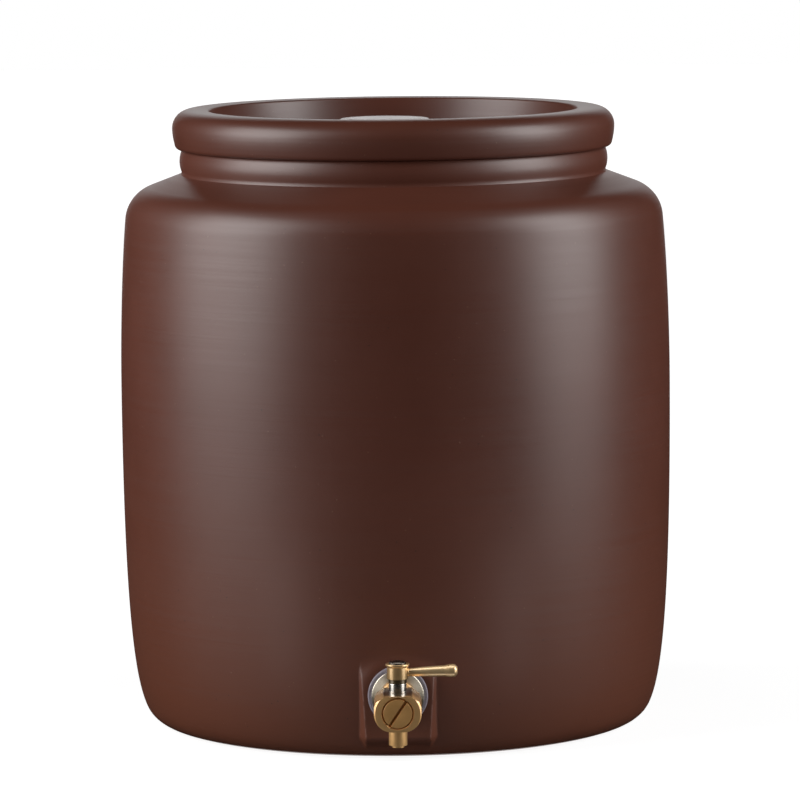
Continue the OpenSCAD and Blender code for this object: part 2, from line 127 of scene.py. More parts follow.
def at_height(line, z):
    """Radius of an outline at a height."""
    for low, high in zip(line, line[1:]):
        if low[1] <= z <= high[1]:
            share = (z - low[1]) / max(high[1] - low[1], 1e-9)
            return low[0] + share * (high[0] - low[0])
    return line[-1][0] if z > line[-1][1] else line[0][0]


def lean(turn):
    return Vector((-math.sin(math.radians(turn)), math.cos(math.radians(turn))))


def wall_line(inset):
    """The wall from the foot's round to the shoulder, at a depth inside the outer face."""
    foot = Vector((FOOT_R, FOOT_ROUND))
    rise = math.radians(FOOT_RISE)
    foot_end = foot + FOOT_ROUND * Vector((math.cos(rise), -math.sin(rise)))
    widest = Vector((POT_R, WIDEST_Z))
    round_r = SHOULDER_R - SHOULDER_ROUND
    slope = math.radians(90 - SHOULDER_FALL)
    run = round_r + SHOULDER_ROUND * math.cos(slope) - NECK_R
    round_z = NECK_Z - run * math.tan(math.radians(SHOULDER_FALL)) - SHOULDER_ROUND * math.sin(slope)
    middle = Vector((round_r, round_z))
    lean_turn = math.radians(SHOULDER_LEAN)
    wall_end = middle + SHOULDER_ROUND * Vector((math.cos(lean_turn), math.sin(lean_turn)))
    line = curve(foot_end, foot_end + 18 * lean(-FOOT_RISE), widest - Vector((0, 113)), widest, 60)
    line += curve(widest, widest + Vector((0, 30)), wall_end - 24 * lean(SHOULDER_LEAN), wall_end, 40)[1:]
    moved = []
    for i, p in enumerate(line):
        way = Vector(line[min(i + 1, len(line) - 1)]) - Vector(line[max(i - 1, 0)])
        way.normalize()
        moved.append((p[0] - inset * way.y, p[1] + inset * way.x))
    low = arc(foot, FOOT_ROUND - inset, -90, -FOOT_RISE, 12)
    high = arc(middle, SHOULDER_ROUND - inset, SHOULDER_LEAN, 90 - SHOULDER_FALL, 14)
    return low, moved, high


# ---------------------------------------------------------------- modelling

def deselect():
    for thing in list(bpy.context.selected_objects):
        thing.select_set(False)


def take(piece):
    deselect()
    piece.select_set(True)
    bpy.context.view_layer.objects.active = piece


def edit(piece):
    take(piece)
    bpy.ops.object.mode_set(mode="EDIT")


def leave():
    bpy.ops.object.mode_set(mode="OBJECT")


def drawn(name, points):
    """An object in edit mode holding one line through points (across, up), in millimetres, facing -Y."""
    deselect()
    bpy.ops.mesh.primitive_plane_add(size=MM)
    piece = bpy.context.object
    piece.name = name
    piece.data.name = name
    bpy.ops.object.mode_set(mode="EDIT")
    bpy.ops.mesh.merge(type="CENTER")
    spot = Vector((0, 0, 0))
    for i, p in enumerate(points):
        target = Vector((p[0] * MM, 0, p[1] * MM))
        if i == 0:
            bpy.ops.transform.translate(value=target - spot)
        else:
            bpy.ops.mesh.extrude_region_move(TRANSFORM_OT_translate={"value": target - spot})
        spot = target
    return piece


def turned(name, points, steps=96, closed=False):
    """A piece turned on a lathe about the Z axis from its half outline. A ring's outline is closed."""
    piece = drawn(name, list(points) + ([points[0]] if closed else []))
    bpy.ops.mesh.select_all(action="SELECT")
    bpy.ops.mesh.spin(steps=steps, angle=math.tau, center=(0, 0, 0), axis=(0, 0, 1))
    tidy()
    leave()
    return piece


def tidy():
    bpy.ops.mesh.select_all(action="SELECT")
    bpy.ops.mesh.remove_doubles(threshold=1e-6)
    bpy.ops.mesh.normals_make_consistent(inside=False)
    bpy.ops.mesh.select_all(action="DESELECT")


def bar(name, outline, length):
    """A bar with this outline (across, up), in millimetres, drawn in the XZ plane and pulled to -Y."""
    piece = drawn(name, list(outline) + [outline[0]])
    bpy.ops.mesh.select_all(action="SELECT")
    bpy.ops.mesh.remove_doubles(threshold=1e-6)
    bpy.ops.mesh.edge_face_add()
    bpy.ops.mesh.extrude_region_move(TRANSFORM_OT_translate={"value": (0, -length * MM, 0)})
    tidy()
    leave()
    return piece


def block(name, size, centre, turn=(0, 0, 0)):
    deselect()
    bpy.ops.mesh.primitive_cube_add(size=1)
    piece = bpy.context.object
    piece.name = name
    place(piece, centre, turn, [s * MM for s in size])
    return piece


def place(piece, spot, turn=(0, 0, 0), size=(1, 1, 1)):
    """Moves a piece to a spot in millimetres, turned in degrees, and keeps that place in its mesh."""
    take(piece)
    piece.location = [v * MM for v in spot]
    piece.rotation_euler = [math.radians(v) for v in turn]
    piece.scale = size
    bpy.ops.object.transform_apply(location=True, rotation=True, scale=True)
    return piece


def on_tap(piece):
    """From upright to lying along the tap's axis, out from the boss."""
    return place(piece, (0, -BOSS_FACE, TAP_Z), (90, 0, 0))


def on_ball(piece):
    """Onto the stem's upright axis, with the ball's centre as height zero."""
    return place(piece, (0, BALL_Y, TAP_Z))


def combine(piece, tool, operation):
    """Adds or cuts another solid, which is used up."""
    take(piece)
    step = piece.modifiers.new("combine", "BOOLEAN")
    step.operation = operation
    step.solver = "EXACT"
    step.object = tool
    bpy.ops.object.modifier_apply(modifier=step.name)
    bpy.data.objects.remove(tool)
    return piece


def soften(piece, width, segments=3, angle=30):
    """Rounds the sharp edges."""
    take(piece)
    step = piece.modifiers.new("soften", "BEVEL")
    step.width = width * MM
    step.segments = segments
    step.limit_method = "ANGLE"
    step.angle_limit = math.radians(angle)
    step.harden_normals = False
    bpy.ops.object.modifier_apply(modifier=step.name)
    return piece


def smooth(piece, angle=32):
    take(piece)
    bpy.ops.object.shade_smooth_by_angle(angle=math.radians(angle))
    return piece


# ---------------------------------------------------------------- finishes

def group(name, inputs, outputs):
    tree = bpy.data.node_groups.new(name, "ShaderNodeTree")
    for label, kind, value in inputs:
        socket = tree.interface.new_socket(name=label, in_out="INPUT", socket_type=kind)
        if value is not None:
            socket.default_value = value
    for label, kind in outputs:
        tree.interface.new_socket(name=label, in_out="OUTPUT", socket_type=kind)
    return tree, tree.nodes.new("NodeGroupInput"), tree.nodes.new("NodeGroupOutput")


def node(tree, kind, links=None, **settings):
    """Adds a node; links fills its inputs by name or number with sockets or values."""
    made = tree.nodes.new("ShaderNode" + kind)
    for key, value in settings.items():
        setattr(made, key, value)
    for key, value in (links or {}).items():
        if isinstance(value, bpy.types.NodeSocket):
            tree.links.new(value, made.inputs[key])
        else:
            made.inputs[key].default_value = value
    return made


def ramp(tree, value, stops):
    """A value or colour that changes between stops (place, colour)."""
    made = node(tree, "ValToRGB", {"Fac": value})
    band = made.color_ramp
    while len(band.elements) < len(stops):
        band.elements.new(0.5)
    for element, (spot, colour) in zip(band.elements, stops):
        element.position = spot
        element.color = (colour, colour, colour, 1) if isinstance(colour, float) else (*colour, 1)
    return made.outputs["Color"]


def blend(tree, share, first, second):
    """The first colour, with this share of the second."""
    made = node(tree, "Mix", data_type="RGBA", blend_type="MIX")
    for key, value in ((0, share), (6, first), (7, second)):
        if isinstance(value, bpy.types.NodeSocket):
            tree.links.new(value, made.inputs[key])
        elif key == 0:
            made.inputs[key].default_value = value
        else:
            made.inputs[key].default_value = (*value, 1)
    return made.outputs[2]


def maths(tree, operation, first, second=0.0, third=0.0):
    return node(tree, "Math", {0: first, 1: second, 2: third}, operation=operation).outputs[0]


def make_grain():
    """Soft cloudiness and fine grain."""
    tree, start, end = group("grain", [("Place", "NodeSocketVector", None),
                                       ("Cloud Scale", "NodeSocketFloat", 14.0),
                                       ("Grain Scale", "NodeSocketFloat", 1500.0)],
                             [("Cloud", "NodeSocketFloat"), ("Grain", "NodeSocketFloat")])
    cloud = node(tree, "TexNoise", {"Vector": start.outputs["Place"], "Scale": start.outputs["Cloud Scale"],
                                    "Detail": 4.0, "Roughness": 0.55})
    grain = node(tree, "TexNoise", {"Vector": start.outputs["Place"], "Scale": start.outputs["Grain Scale"],
                                    "Detail": 2.0})
    tree.links.new(cloud.outputs["Fac"], end.inputs["Cloud"])
    tree.links.new(grain.outputs["Fac"], end.inputs["Grain"])
    return tree


def make_strokes():
    """Fine lines that run one way: tool marks, brushing and burnishing."""
    tree, start, end = group("strokes", [("Place", "NodeSocketVector", None),
                                         ("Stretch", "NodeSocketVector", (6.0, 6.0, 700.0))],
                             [("Strokes", "NodeSocketFloat")])
    moved = node(tree, "Mapping", {"Vector": start.outputs["Place"], "Scale": start.outputs["Stretch"]})
    lines = node(tree, "TexNoise", {"Vector": moved.outputs[0], "Scale": 1.0, "Detail": 3.0,
                                    "Roughness": 0.6})
    tree.links.new(lines.outputs["Fac"], end.inputs["Strokes"])
    return tree


def make_specks():
    """Sparse small grains as a mask."""
    tree, start, end = group("specks", [("Place", "NodeSocketVector", None),
                                        ("Scale", "NodeSocketFloat", 500.0),
                                        ("Size", "NodeSocketFloat", 0.12),
                                        ("Share", "NodeSocketFloat", 0.05)],
                             [("Mask", "NodeSocketFloat")])
    cells = node(tree, "TexVoronoi", {"Vector": start.outputs["Place"], "Scale": start.outputs["Scale"]})
    near = maths(tree, "LESS_THAN", cells.outputs["Distance"], start.outputs["Size"])
    parts = node(tree, "SeparateColor", {0: cells.outputs["Color"]})
    chosen = maths(tree, "LESS_THAN", parts.outputs[0], start.outputs["Share"])
    tree.links.new(maths(tree, "MULTIPLY", near, chosen), end.inputs["Mask"])
    return tree


GRAIN = make_grain()
STROKES = make_strokes()
SPECKS = make_specks()


def use(tree, which, **values):
    """Adds a shared effect; values fills its inputs with sockets or values."""
    made = tree.nodes.new("ShaderNodeGroup")
    made.node_tree = which
    for key, value in values.items():
        socket = made.inputs[key.replace("_", " ")]
        if isinstance(value, bpy.types.NodeSocket):
            tree.links.new(value, socket)
        else:
            socket.default_value = value
    return made


def finish(name, roughness, metallic=0.0):
    """A new material: its tree, its shader and where a point lies on the object."""
    made = bpy.data.materials.new(name)
    made.use_nodes = True
    tree = made.node_tree
    shader = tree.nodes["Principled BSDF"]
    shader.inputs["Roughness"].default_value = roughness
    shader.inputs["Metallic"].default_value = metallic
    spot = tree.nodes.new("ShaderNodeTexCoord").outputs["Object"]
    return made, tree, shader, spot


def raise_up(tree, shader, height, depth):
    """Feeds a height, in millimetres of depth, to the shader's normal."""
    made = node(tree, "Bump", {"Height": height, "Distance": depth * MM, "Strength": 1.0})
    tree.links.new(made.outputs[0], shader.inputs["Normal"])


def from_axis(tree, spot, centre, across):
    """The way out from an axis through a centre in millimetres, and its length. Across is 0 on the axis."""
    moved = node(tree, "VectorMath", {0: spot, 1: [-v * MM for v in centre]}, operation="ADD").outputs[0]
    way = node(tree, "VectorMath", {0: moved, 1: across}, operation="MULTIPLY").outputs[0]
    return way, node(tree, "VectorMath", {0: way}, operation="LENGTH").outputs["Value"]


def clay(name, shift, worn=()):
    """Burnished clay. A worn patch (centre across, radius, height, amount) is smoother above its height."""
    made, tree, shader, spot = finish(name, 0.42)
    shader.inputs["Specular IOR Level"].default_value = 0.66
    moved = node(tree, "Mapping", {"Vector": spot, "Location": shift}).outputs[0]
    grain = use(tree, GRAIN, Place=moved, Cloud_Scale=11.0, Grain_Scale=1800.0)
    strokes = use(tree, STROKES, Place=moved, Stretch=(5.0, 5.0, 520.0)).outputs[0]
    wide = use(tree, STROKES, Place=moved, Stretch=(2.5, 2.5, 60.0)).outputs[0]
    height = node(tree, "SeparateXYZ", {0: spot}).outputs[2]
    low = ramp(tree, maths(tree, "DIVIDE", height, 0.3), [(0.0, 1.0), (0.55, 0.0)])
    colour = ramp(tree, grain.outputs["Cloud"], [(0.3, (0.084, 0.0215, 0.0112)),
                                                 (0.7, (0.104, 0.0275, 0.015))])
    colour = blend(tree, low, colour, (0.115, 0.033, 0.015))
    colour = blend(tree, maths(tree, "MULTIPLY", strokes, 0.25), colour, (0.06, 0.017, 0.009))
    colour = blend(tree, maths(tree, "MULTIPLY", wide, 0.2), colour, (0.105, 0.034, 0.02))
    pale = use(tree, SPECKS, Place=moved, Scale=420.0, Size=0.12, Share=0.035).outputs[0]
    dark = use(tree, SPECKS, Place=moved, Scale=300.0, Size=0.13, Share=0.05).outputs[0]
    colour = blend(tree, maths(tree, "MULTIPLY", pale, 0.5), colour, (0.24, 0.12, 0.075))
    colour = blend(tree, maths(tree, "MULTIPLY", dark, 0.6), colour, (0.02, 0.009, 0.007))
    tree.links.new(colour, shader.inputs["Base Color"])
    rough = maths(tree, "MULTIPLY_ADD", strokes, 0.1, 0.33)
    rough = maths(tree, "MULTIPLY_ADD", grain.outputs["Cloud"], 0.08, rough)
    bumps = maths(tree, "MULTIPLY_ADD", grain.outputs["Grain"], 0.35, strokes)
    bumps = maths(tree, "MULTIPLY_ADD", pale, 0.6, bumps)
    for middle, radius, above, amount in worn:
        away = from_axis(tree, spot, (middle, 0, 0), (1, 1, 0))[1]
        near = maths(tree, "LESS_THAN", away, radius * MM)
        lift = node(tree, "MapRange", {0: height, 1: above * MM, 2: (above + 1.2) * MM}).outputs[0]
        smoother = maths(tree, "MULTIPLY", near, lift)
        rough = maths(tree, "MULTIPLY_ADD", smoother, -amount, rough)
        bumps = maths(tree, "MULTIPLY", bumps, maths(tree, "MULTIPLY_ADD", smoother, -3 * amount, 1.0))
    tree.links.new(rough, shader.inputs["Roughness"])
    raise_up(tree, shader, bumps, 0.03)
    return made


def metal(name, light, dark, roughness, stretch, depth=0.006, spread=0.16, painted_shade=None):
    """Brushed metal: the colour drifts between two tones, and fine lines run one way.

    Painted shade round the stem, where the hub and lever shade the metal, lies between two heights, the first
    clean and the last dark; it also makes the metal smoother there.
    """
    made, tree, shader, spot = finish(name, roughness, 1.0)
    grain = use(tree, GRAIN, Place=spot, Cloud_Scale=60.0, Grain_Scale=6000.0)
    strokes = use(tree, STROKES, Place=spot, Stretch=stretch).outputs[0]
    colour = ramp(tree, grain.outputs["Cloud"], [(0.3, dark), (0.68, light)])
    colour = blend(tree, maths(tree, "MULTIPLY", strokes, 0.35), colour, dark)
    rough = maths(tree, "MULTIPLY_ADD", strokes, spread, roughness - spread / 2)
    rough = maths(tree, "MULTIPLY_ADD", grain.outputs["Grain"], 0.05, rough)
    # Painted shade: darkens the metal round the stem, fading out from 9 to 18 mm away from it
    if painted_shade:
        height = node(tree, "SeparateXYZ", {0: spot}).outputs[2]
        shade_mask = node(tree, "MapRange", {0: height, 1: painted_shade[0] * MM, 2: painted_shade[1] * MM}).outputs[0]
        away = from_axis(tree, spot, (0, BALL_Y, 0), (1, 1, 0))[1]
        near = node(tree, "MapRange", {0: away, 1: 9 * MM, 2: 18 * MM, 3: 1.0, 4: 0.0}).outputs[0]
        shade_mask = maths(tree, "MULTIPLY", shade_mask, near)
        patchy = maths(tree, "MULTIPLY_ADD", grain.outputs["Cloud"], 0.2, 0.78)
        colour = blend(tree, maths(tree, "MULTIPLY", shade_mask, patchy), colour, (0.05, 0.038, 0.018))
        rough = maths(tree, "MULTIPLY_ADD", shade_mask, 0.28 - roughness, rough)
    tree.links.new(colour, shader.inputs["Base Color"])
    tree.links.new(rough, shader.inputs["Roughness"])
    raise_up(tree, shader, strokes, depth)
    return made


def lacquered(made):
    """Metal dulled by age below a thin clear coat."""
    shader = made.node_tree.nodes["Principled BSDF"]
    shader.inputs["Metallic"].default_value = 0.78
    shader.inputs["Coat Weight"].default_value = 0.9
    shader.inputs["Coat Roughness"].default_value = 0.2
    shader.inputs["Coat IOR"].default_value = 1.65
    return made


def turned_metal(name, light, dark, roughness, axis, centre, pitch, depth):
    """Metal with the fine rings that a lathe tool leaves about an axis."""
    made, tree, shader, spot = finish(name, roughness, 1.0)
    way, away = from_axis(tree, spot, centre, [1 - v for v in axis])
    wobble = node(tree, "TexNoise", {"Scale": 1.0, "Detail": 3.0, "Roughness": 0.7},
                  noise_dimensions="1D")
    tree.links.new(maths(tree, "MULTIPLY", away, 1 / (pitch * MM)), wobble.inputs["W"])
    grain = use(tree, GRAIN, Place=spot, Cloud_Scale=90.0, Grain_Scale=6000.0)
    colour = ramp(tree, grain.outputs["Cloud"], [(0.3, dark), (0.7, light)])
    colour = blend(tree, maths(tree, "MULTIPLY", wobble.outputs[0], 0.4), colour, dark)
    tree.links.new(colour, shader.inputs["Base Color"])
    rough = maths(tree, "MULTIPLY_ADD", wobble.outputs[0], 0.16, roughness - 0.08)
    tree.links.new(rough, shader.inputs["Roughness"])
    # Light spreads across the rings, not along them
    shader.inputs["Anisotropic"].default_value = 0.8
    outward = node(tree, "VectorMath", {0: way}, operation="NORMALIZE").outputs[0]
    tree.links.new(outward, shader.inputs["Tangent"])
    raise_up(tree, shader, wobble.outputs[0], depth)
    return made


def clear_rubber(name):
    """Clear silicone: some light passes through and some is scattered inside."""
    made, tree, shader, spot = finish(name, 0.34)
    grain = use(tree, GRAIN, Place=spot, Cloud_Scale=120.0, Grain_Scale=3000.0)
    colour = ramp(tree, grain.outputs["Cloud"], [(0.3, (0.42, 0.375, 0.44)), (0.7, (0.54, 0.49, 0.56))])
    tree.links.new(colour, shader.inputs["Base Color"])
    rough = maths(tree, "MULTIPLY_ADD", grain.outputs["Grain"], 0.2, 0.25)
    tree.links.new(rough, shader.inputs["Roughness"])
    shader.inputs["Transmission Weight"].default_value = 0.55
    shader.inputs["Subsurface Weight"].default_value = 0.3
    shader.inputs["Subsurface Radius"].default_value = (0.002, 0.002, 0.002)
    shader.inputs["IOR"].default_value = 1.41
    raise_up(tree, shader, grain.outputs["Grain"], 0.01)
    return made


def plain_stuff(name, light, dark, roughness):
    """Moulded plastic or rubber: a faint mottle and a fine skin."""
    made, tree, shader, spot = finish(name, roughness)
    grain = use(tree, GRAIN, Place=spot, Cloud_Scale=150.0, Grain_Scale=4000.0)
    colour = ramp(tree, grain.outputs["Cloud"], [(0.3, dark), (0.7, light)])
    tree.links.new(colour, shader.inputs["Base Color"])
    rough = maths(tree, "MULTIPLY_ADD", grain.outputs["Grain"], 0.2, roughness - 0.1)
    tree.links.new(rough, shader.inputs["Roughness"])
    raise_up(tree, shader, grain.outputs["Grain"], 0.01)
    return made


POT_CLAY = clay("pot clay", (0.0, 0.0, 0.0))
LID_CLAY = clay("lid clay", (0.31, 0.17, 0.05), [(KNOB_X, KNOB_R, KNOB_TOP - 2, 0.22),
                                                 (0, LID_R, LID_TOP - 1.4, 0.04)])
BRASS_FACE = lacquered(metal("antique brass, milled face", (0.86, 0.5, 0.19), (0.68, 0.37, 0.125), 0.5,
                             (60.0, 60.0, 900.0)))
# The cast block's top round the gland and the turned hub's stop rim below the hub carry painted shade
BRASS_BLOCK = lacquered(metal("antique brass, cast block", (0.88, 0.54, 0.23), (0.7, 0.4, 0.15), 0.46,
                              (60.0, 60.0, 900.0), painted_shade=(TAP_Z + 8.2, TAP_Z + 8.7)))
BRASS_ROUND = lacquered(metal("antique brass, turned", (0.88, 0.6, 0.29), (0.72, 0.45, 0.19), 0.3,
                              (30.0, 30.0, 900.0), depth=0.004, spread=0.1,
                              painted_shade=(TAP_Z + HUB_Z + 0.4, TAP_Z + HUB_Z - 0.1)))
LEVER_BRASS = lacquered(metal("antique brass, lever", (0.9, 0.66, 0.36), (0.78, 0.52, 0.25), 0.34,
                              (900.0, 30.0, 30.0), depth=0.002, spread=0.1))
NICKEL_FLANGE = turned_metal("turned nickel", (0.82, 0.77, 0.66), (0.64, 0.58, 0.46), 0.36, (0, 1, 0),
                             (0, 0, TAP_Z), 0.25, 0.045)
NICKEL_GLAND = metal("nickel, turned upright", (0.85, 0.82, 0.76), (0.66, 0.62, 0.56), 0.22,
                     (30.0, 30.0, 1200.0), depth=0.002, spread=0.08)
STEEL = metal("plain steel", (0.6, 0.59, 0.57), (0.44, 0.43, 0.41), 0.27, (400.0, 400.0, 400.0))
CHROME = metal("polished ball", (0.8, 0.8, 0.8), (0.66, 0.66, 0.67), 0.09, (200.0, 200.0, 200.0),
               depth=0.001, spread=0.04)
DARK_SCREW = metal("blackened steel", (0.17, 0.15, 0.125), (0.06, 0.054, 0.046), 0.25, (300.0, 300.0, 300.0))
CLEAR_RUBBER = clear_rubber("clear silicone")
SEAT_PLASTIC = plain_stuff("white seat plastic", (0.82, 0.82, 0.79), (0.72, 0.72, 0.68), 0.42)
BLACK_RUBBER = plain_stuff("black rubber", (0.03, 0.03, 0.03), (0.014, 0.014, 0.014), 0.45)


def dress(piece, material, body, slot, *nodes):
    """Gives a finished piece its material and its body, and hides the nodes that it stands for; the slot is
    not used.
    """
    piece.data.materials.clear()
    piece.data.materials.append(material)
    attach(piece, body)
    if nodes:
        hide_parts(*nodes)
    return piece


def redress(name, material):
    """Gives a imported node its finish."""
    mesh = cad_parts[name].data
    mesh.materials.clear()
    mesh.materials.append(material)


# ---------------------------------------------------------------- clay pot

def easing(value, width):
    """Nothing below zero, the value above it, with a soft turn between."""
    if value <= -width:
        return 0.0
    if value >= width:
        return value
    return (value + width) ** 2 / (4 * width)


def boss_out(x, z):
    """How far the boss's surface lies from the pot's axis, along the tap."""
    half = 17.0 + 2.6 * min(max((z - BOSS_LOW) / (BOSS_TOP - BOSS_LOW), 0), 1)
    side = easing(abs(x) - half, 0.5) / 0.4
    top = easing(math.hypot(x, max(z - TAP_Z, 0)) - 18.6, 2.6) * 0.36
    low = easing(BOSS_LOW - z, 1.6) * 2
    return BOSS_FACE - side - top - low


def make_pot():
    foot, wall, shoulder = wall_line(0)
    foot_in, wall_in, shoulder_in = wall_line(WALL)
    # Heights of the wall's rows: (first, step, count), finer where the boss ends
    runs = ((8.5, 0.45, 10), (13, 0.5, 8), (17, 1.3, 25), (49.5, 0.7, 18), (63, 4.2, 52))
    rows = [first + step * i for first, step, count in runs for i in range(count)]
    outer = foot + wall
    fine = [p for p in foot if p[1] < 8.2] + [(at_height(outer, z), z) for z in rows if z < wall[-1][1] - 1]
    half = RING_H / 2
    ring_r = (half * half + RING_BULGE ** 2) / (2 * RING_BULGE)
    centre = (NECK_R + RING_BULGE - ring_r, NECK_Z + half)
    low = math.degrees(math.asin(half / ring_r))
    high = math.degrees(math.asin((half - 1.2) / (ring_r - 1.2)))
    corner = (centre[0] + (ring_r - 1.2) * math.cos(math.radians(high)),
              centre[1] + (ring_r - 1.2) * math.sin(math.radians(high)))
    ring = arc(centre, ring_r, -low, high, 12) + arc(corner, 1.2, high, 90, 4)[1:]
    slope = [(shoulder[-1][0] + (NECK_R + 0.9 - shoulder[-1][0]) * i / 4,
              shoulder[-1][1] + (NECK_Z - 0.4 - shoulder[-1][1]) * i / 4) for i in range(1, 5)]
    last = shoulder_in[-1]
    mouth_low = last[1] + (last[0] - MOUTH_R) * math.tan(math.radians(SHOULDER_FALL))
    mouth = eased([(ring[-1][0] - 2, POT_TOP), (MOUTH_R, POT_TOP, 1.2), (MOUTH_R, mouth_low, 1.5),
                   last], 4)[1:-1]
    inside = list(reversed(foot_in + wall_in[::5] + shoulder_in[::3]))
    under = eased([(0, 1.2), (100, 1.2, 3), (104, 0, 1.2), (FOOT_R, 0)], 4)
    body = drawn("clay_pot", under[:-1] + fine + shoulder + slope + ring[1:] + mouth + inside + [(0, WALL)])
    # The tap's side is spun in finer steps than the rest, then turned to face the tap
    fine_turn = math.radians(26)
    bpy.ops.mesh.select_all(action="SELECT")
    bpy.ops.mesh.spin(steps=190, angle=math.tau - fine_turn, center=(0, 0, 0), axis=(0, 0, 1))
    bpy.ops.mesh.spin(steps=130, angle=fine_turn, center=(0, 0, 0), axis=(0, 0, 1))
    tidy()
    leave()
    place(body, (0, 0, 0), (0, 0, -103))
    shape = outer + shoulder
    for vertex in body.data.vertices:
        x, y, z = vertex.co / MM
        reach = math.hypot(x, y)
        if y > 0 or abs(x) > 32 or not 4 < z < 66 or reach < at_height(shape, z) - 1:
            continue
        out = boss_out(x, z)
        away = max(1.3 - abs(out + y), 0)
        vertex.co.y = -MM * (max(out, -y) + away * away / 5.2)
    pad = block("inner pad", (42, 5, 34), (0, -(BOSS_FACE - BOSS_WALL) - 2.5, 40))
    combine(body, soften(pad, 1.5, 3), "UNION")
    combine(body, on_tap(turned("tap hole", [(0, -20), (8, -20), (8, 20), (0, 20)], 64)), "DIFFERENCE")
    seat = eased([(0, -BOSS_WALL), (16.5, -BOSS_WALL, 0.8), (16.5, -45), (0, -45)], 3)
    combine(body, on_tap(turned("tap seat", seat, 64)), "DIFFERENCE")
    return smooth(body, 38)


def make_lid():
    edge = (LID_R - 1.3 - 2.5, POT_TOP + 2.5)
    top = (LID_R - ROLL_R, LID_TOP - ROLL_R)
    lip = (DISH_R + 1.2, LID_TOP - 1.5)
    turn = (DISH_R - 3 - 5, DISH_FLOOR + 5)
    low = DISH_FLOOR - LID_FLOOR
    under = eased([(0, low), (SKIRT_R - SKIRT_WALL, low, 3), (SKIRT_R - SKIRT_WALL, POT_TOP - SKIRT_H, 2),
                   (SKIRT_R, POT_TOP - SKIRT_H, 2), (SKIRT_R, POT_TOP, 0.8), (edge[0], POT_TOP)], 5)
    rim = arc(edge, 2.5, -90, -14, 8)
    rim += curve((edge[0] + 2.43, edge[1] - 0.6), (edge[0] + 3.2, edge[1] + 2.6),
                 (LID_R, top[1] - 3.4), (LID_R, top[1]), 8)[1:]
    rim += arc(top, ROLL_R, 0, 90, 22)[1:]
    dish = arc(lip, 1.2, 90, 180, 6) + arc(turn, 5, 0, -90, 10)
    floor = [(80 - 10 * i, DISH_FLOOR) for i in range(8)] + [(0, DISH_FLOOR)]
    lid = turned("clay_lid", under[:-1] + rim + dish + floor, 240)
    knob = eased([(0, DISH_FLOOR - 2), (21, DISH_FLOOR - 2), (20.8, DISH_FLOOR - 0.1, 1),
                  (KNOB_STALK_R, DISH_FLOOR + 2.4, 3), (KNOB_STALK_R, DISH_FLOOR + 6, 3),
                  (KNOB_R, KNOB_TOP - 3.2, 1.4), (KNOB_R, KNOB_TOP, 1.5),
                  (KNOB_R * 0.8, KNOB_TOP - 0.15, 4), (KNOB_R * 0.45, KNOB_TOP - 0.75, 8),
                  (0, KNOB_TOP - 0.8)], 6)
    combine(lid, place(turned("knob", knob, 160), (KNOB_X, 0, 0)), "UNION")
    return smooth(lid, 38)


pot = dress(make_pot(), POT_CLAY, "pot", "clay_pot", "pot_body")
lid = dress(make_lid(), LID_CLAY, "lid", "clay_lid", "lid")

# ---------------------------------------------------------------- tap, fixed pieces

# Radii and thicknesses; along the tap, heights are counted out from the boss's face
TAIL_R = 7.0
BORE_R = 7.1
GASKET_T = 2.5
WASHER_T = 1.5
NUT_H = 6
NUT_START = -BOSS_WALL - GASKET_T - WASHER_T - NUT_H
BLOCK_END = 57.1
SPOUT_END = -18.8
OUTLET_R = 3.2
PIN_TURN = -51.5


def ring_piece(name, outer, inner, low, high, edge, steps=96):
    """A flat ring on the tap's axis with rounded edges."""
    outline = eased([(inner, (low + high) / 2), (inner, low, edge), (outer, low, edge), (outer, high, edge),
                     (inner, high, edge), (inner, (low + high) / 2)], 5)
    return smooth(on_tap(turned(name, outline[:-1], steps, closed=True)))


outer_gasket = ring_piece("outer_gasket_ring", 15.8, BORE_R, 0, GASKET_T, 0.9, 128)
dress(outer_gasket, CLEAR_RUBBER, "pot", "silicone", "outer_gasket")
inner_gasket = ring_piece("inner_gasket_ring", 14, BORE_R, -BOSS_WALL - GASKET_T, -BOSS_WALL, 0.9)
dress(inner_gasket, CLEAR_RUBBER, "pot", "silicone", "inner_gasket")
inner_washer = ring_piece("inner_washer_ring", 12, BORE_R, NUT_START + NUT_H, -BOSS_WALL - GASKET_T, 0.25)
dress(inner_washer, STEEL, "pot", "steel", "inner_washer")


def make_flange():
    """The turned washer with a gently coned face."""
    outline = eased([(BORE_R, 4), (BORE_R, GASKET_T, 0.2), (13.7, GASKET_T, 0.3), (13.7, 4.4, 0.15),
                     (13.5, 4.6, 0.15), (9.6, 5.5, 0.2), (BORE_R, 5.5, 0.2), (BORE_R, 4)], 4)
    return smooth(on_tap(turned("flange_ring", outline[:-1], 128, closed=True)))


dress(make_flange(), NICKEL_FLANGE, "pot", "nickel", "flange_washer")


def make_nut():
    """Hexagonal nut with both faces turned down at the corners and a chamfered thread."""
    start = NUT_START
    end = start + NUT_H
    deselect()
    bpy.ops.mesh.primitive_cylinder_add(vertices=6, radius=11 * MM / math.cos(math.pi / 6), depth=NUT_H * MM)
    nut = bpy.context.object
    nut.name = "hex_nut"
    place(nut, (0, 0, start + NUT_H / 2), (0, 0, 30))
    crown = turned("nut crown", eased([(0, start - 0.1), (11.1, start - 0.1), (13.2, start + 1.1),
                                       (13.2, end - 1.1), (11.1, end + 0.1), (0, end + 0.1)]), 96)
    combine(nut, crown, "INTERSECT")
    bore = turned("nut bore", [(0, start - 1), (8.1, start - 1), (7.05, start + 0.9), (7.05, end - 0.9),
                               (8.1, end + 1), (0, end + 1)], 96)
    combine(nut, bore, "DIFFERENCE")
    soften(nut, 0.18, 2, 25)
    return smooth(on_tap(nut))


dress(make_nut(), BRASS_FACE, "pot", "brass", "back_nut")


